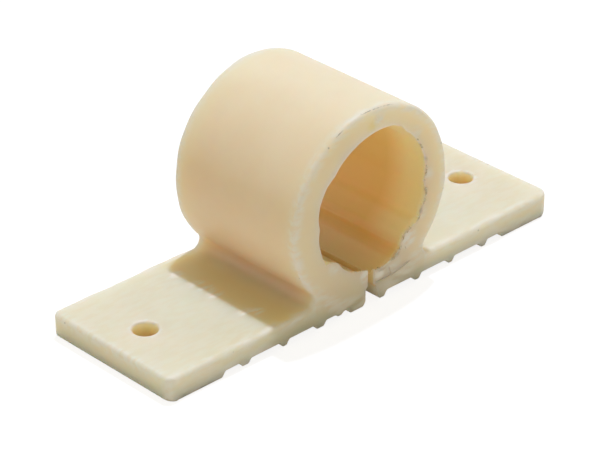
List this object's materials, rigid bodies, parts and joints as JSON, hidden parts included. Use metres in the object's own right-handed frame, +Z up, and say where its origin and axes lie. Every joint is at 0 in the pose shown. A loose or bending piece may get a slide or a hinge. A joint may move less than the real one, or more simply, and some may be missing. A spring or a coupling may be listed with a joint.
{
  "type": "pipe clip",
  "caption": "Moulded pipe clip: a split ring with lengthwise ribs grips the tube, on flat flanges with screw holes and grip teeth underneath.",
  "frame": {"origin": "centre of the overall box in plan, on the surface that the clip is screwed to", "axes": "+X along the flanges, +Y along the tube, +Z up, away from the surface"},
  "size_m": [0.0786, 0.0254, 0.0319],
  "materials": {
    "cream_plastic": "satin moulded polypropylene"
  },
  "bodies": {
    "root": {"pipe_clip": "cream_plastic"}
  },
  "joints": []
}
